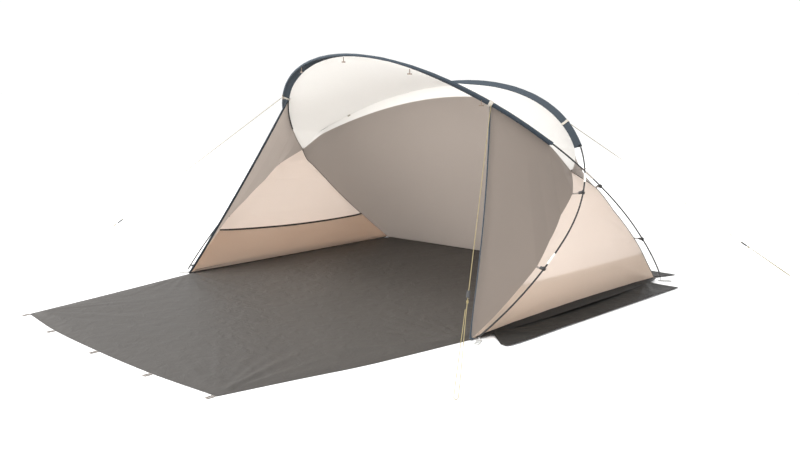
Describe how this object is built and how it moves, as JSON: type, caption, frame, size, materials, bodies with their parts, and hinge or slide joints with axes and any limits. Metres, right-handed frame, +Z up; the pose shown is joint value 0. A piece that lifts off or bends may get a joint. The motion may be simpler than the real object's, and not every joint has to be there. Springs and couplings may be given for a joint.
{
  "type": "tarp shelter",
  "caption": "Open-fronted beach tarp shelter on two crossing arched poles, with a floor, a fold-up porch flap, guy lines and sand flaps.",
  "frame": {"origin": "middle of the floor's underside", "axes": "+Z up, +Y from the open front to the back, +X to the right seen from the front"},
  "size_m": [3.1069, 3.4218, 1.2124],
  "materials": {
    "white_fabric": "translucent off-white polyester, plain weave",
    "grey_fabric": "warm grey polyester, plain weave",
    "cream_fabric": "cream polyester, plain weave",
    "beige_fabric": "beige polyester lining",
    "floor_sheet": "dark grey coated groundsheet",
    "slate_tape": "slate blue pole sleeve and binding",
    "dark_tape": "black binding tape",
    "pole": "black fibreglass rod",
    "guy_line": "pale yellow braided line",
    "black_plastic": "moulded black plastic",
    "grey_webbing": "grey woven webbing",
    "steel": "plated steel pin"
  },
  "bodies": {
    "root": {"roof_panel": "white_fabric", "back_panel": "grey_fabric", "groundsheet": "floor_sheet", "wing_left": "grey_fabric", "side_panel_left": "cream_fabric", "side_pocket_left": "beige_fabric", "pocket_binding_left": "dark_tape", "edge_binding_left": "slate_tape", "sand_flap_left": "floor_sheet", "crossing_strap_left": "grey_webbing", "foot_webbing_front_left": "grey_webbing", "foot_pin_front_left": "steel", "guy_front_left": "guy_line", "clip_front_left_1": "black_plastic", "clip_front_left_2": "black_plastic", "foot_webbing_rear_left": "grey_webbing", "foot_pin_rear_left": "steel", "guy_rear_left": "guy_line", "clip_rear_left_1": "black_plastic", "clip_rear_left_2": "black_plastic", "wing_right": "grey_fabric", "side_panel_right": "cream_fabric", "side_pocket_right": "beige_fabric", "pocket_binding_right": "dark_tape", "edge_binding_right": "slate_tape", "sand_flap_right": "floor_sheet", "crossing_strap_right": "grey_webbing", "foot_webbing_front_right": "grey_webbing", "foot_pin_front_right": "steel", "guy_front_right": "guy_line", "clip_front_right_1": "black_plastic", "clip_front_right_2": "black_plastic", "foot_webbing_rear_right": "grey_webbing", "foot_pin_rear_right": "steel", "guy_rear_right": "guy_line", "clip_rear_right_1": "black_plastic", "clip_rear_right_2": "black_plastic", "sand_flap_rear": "floor_sheet", "front_pole": "pole", "front_sleeve": "slate_tape", "rear_pole": "pole", "rear_sleeve": "slate_tape"},
    "porch": {"porch_flap": "floor_sheet", "porch_loop_1": "grey_webbing", "porch_loop_2": "grey_webbing", "porch_loop_3": "grey_webbing", "porch_loop_4": "grey_webbing", "porch_loop_5": "grey_webbing"},
    "runner_front_left": {"runner_front_left": "black_plastic"},
    "runner_front_right": {"runner_front_right": "black_plastic"},
    "runner_rear_left": {"runner_rear_left": "black_plastic"},
    "runner_rear_right": {"runner_rear_right": "black_plastic"},
    "toggle_1": {"toggle_1": "grey_webbing"},
    "toggle_2": {"toggle_2": "grey_webbing"},
    "toggle_3": {"toggle_3": "grey_webbing"},
    "toggle_4": {"toggle_4": "grey_webbing"},
    "toggle_5": {"toggle_5": "grey_webbing"}
  },
  "joints": [
    {"name": "porch_fold", "type": "hinge", "parent": "root", "child": "porch", "pos_m": [0, -0.82, 0.001], "axis": [-1, 0, 0], "range_deg": [0, 100]},
    {"name": "runner_slide_front_left", "type": "slide", "parent": "root", "child": "runner_front_left", "axis": [0.5233, 0.6057, 0.5994], "range_m": [0, 0.3]},
    {"name": "runner_slide_front_right", "type": "slide", "parent": "root", "child": "runner_front_right", "axis": [-0.4289, 0.6767, 0.5984], "range_m": [0, 0.3]},
    {"name": "runner_slide_rear_left", "type": "slide", "parent": "root", "child": "runner_rear_left", "axis": [0.4494, -0.7147, 0.5359], "range_m": [0, 0.3]},
    {"name": "runner_slide_rear_right", "type": "slide", "parent": "root", "child": "runner_rear_right", "axis": [-0.4494, -0.7147, 0.5359], "range_m": [0, 0.3]},
    {"name": "toggle_swing_1", "type": "hinge", "parent": "root", "child": "toggle_1", "pos_m": [-0.69718, -0.36345, 0.99341], "axis": [0.8242, -0.5663, 0], "range_deg": [-45, 45]},
    {"name": "toggle_swing_2", "type": "hinge", "parent": "root", "child": "toggle_2", "pos_m": [-0.36517, -0.51894, 1.14329], "axis": [0.9602, -0.2793, 0], "range_deg": [-45, 45]},
    {"name": "toggle_swing_3", "type": "hinge", "parent": "root", "child": "toggle_3", "pos_m": [0, -0.57037, 1.19393], "axis": [1, 0, 0], "range_deg": [-45, 45]},
    {"name": "toggle_swing_4", "type": "hinge", "parent": "root", "child": "toggle_4", "pos_m": [0.38517, -0.51294, 1.13742], "axis": [0.9554, 0.2953, 0], "range_deg": [-45, 45]},
    {"name": "toggle_swing_5", "type": "hinge", "parent": "root", "child": "toggle_5", "pos_m": [0.69718, -0.36345, 0.99341], "axis": [0.8242, 0.5663, 0], "range_deg": [-45, 45]}
  ]
}
